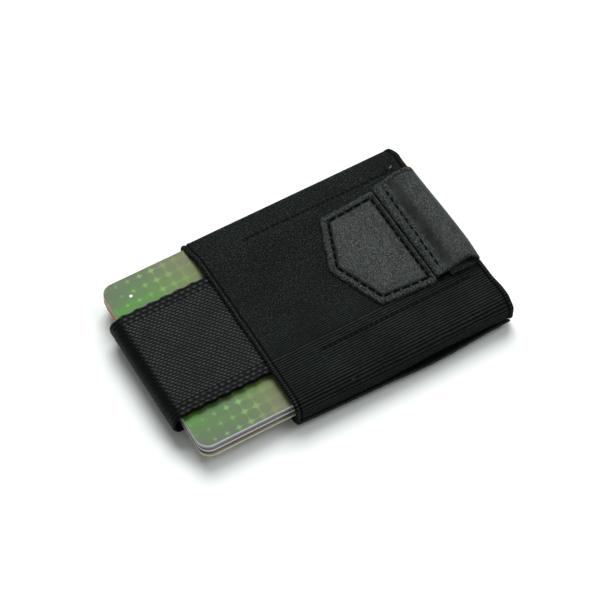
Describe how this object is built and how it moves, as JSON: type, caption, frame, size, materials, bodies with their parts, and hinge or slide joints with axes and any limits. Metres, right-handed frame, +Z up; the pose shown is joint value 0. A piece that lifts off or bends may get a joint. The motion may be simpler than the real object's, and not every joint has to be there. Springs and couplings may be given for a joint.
{
  "type": "minimalist wallet",
  "caption": "Slim elastic card wallet with a webbing pull strap, a stitched leather patch and a folded leather tab that lifts the card stack out.",
  "frame": {"origin": "middle of the elastic sleeve, on the surface that the wallet lies on", "axes": "+X the way the tab is pulled and the cards come out, +Y across the cards, +Z up, away from the rear pocket"},
  "size_m": [0.0893, 0.0596, 0.0136],
  "materials": {
    "elastic": "fine ribbed woven elastic, matt black",
    "lining": "thin plain weave, black",
    "webbing": "coarse woven nylon webbing, black with a slight sheen",
    "leather": "grained black leather, satin, rough cut edges",
    "thread": "black sewing thread",
    "card_green": null,
    "card_silver": "pale grey card",
    "card_grey": "dark grey card",
    "card_white": "white card",
    "card_cream": "cream card"
  },
  "bodies": {
    "sleeve": {"outer_sleeve": "elastic", "channel_lining": "lining", "cash_pocket": "elastic", "pocket_seam_stitches": "thread", "channel_stitches_near": "thread", "channel_stitches_far": "thread", "channel_end_stitches": "thread", "leather_patch": "leather", "patch_stitches": "thread", "strap_back_leg": "webbing", "strap_anchor_stitches": "thread"},
    "strap_loop": {"strap_bend": "webbing", "strap_front_leg": "webbing"},
    "pull_tab": {"strap_tab_end": "webbing", "tab_leather": "leather", "tab_stitches": "thread"},
    "card_1": {"card_1": "card_cream"},
    "card_2": {"card_2": "card_white"},
    "card_3": {"card_3": "card_grey"},
    "card_4": {"card_4": "card_silver"},
    "card_5": {"card_5": "card_green"}
  },
  "joints": [
    {"name": "eject", "type": "slide", "parent": "sleeve", "child": "strap_loop", "axis": [1, 0, 0], "range_m": [0, 0.024], "deforming": ["strap_back_leg"]},
    {"name": "tab_pull", "type": "slide", "parent": "sleeve", "child": "pull_tab", "axis": [1, 0, 0], "range_m": [0, 0.048], "deforming": ["strap_front_leg"]},
    {"name": "card_1_slide", "type": "slide", "parent": "strap_loop", "child": "card_1", "axis": [1, 0, 0], "range_m": [0, 0.062]},
    {"name": "card_2_slide", "type": "slide", "parent": "strap_loop", "child": "card_2", "axis": [1, 0, 0], "range_m": [0, 0.062]},
    {"name": "card_3_slide", "type": "slide", "parent": "strap_loop", "child": "card_3", "axis": [1, 0, 0], "range_m": [0, 0.062]},
    {"name": "card_4_slide", "type": "slide", "parent": "strap_loop", "child": "card_4", "axis": [1, 0, 0], "range_m": [0, 0.062]},
    {"name": "card_5_slide", "type": "slide", "parent": "strap_loop", "child": "card_5", "axis": [1, 0, 0], "range_m": [0, 0.062]}
  ],
  "couplings": [
    {"joint": "tab_pull", "follows": "eject", "ratio": 2}
  ]
}
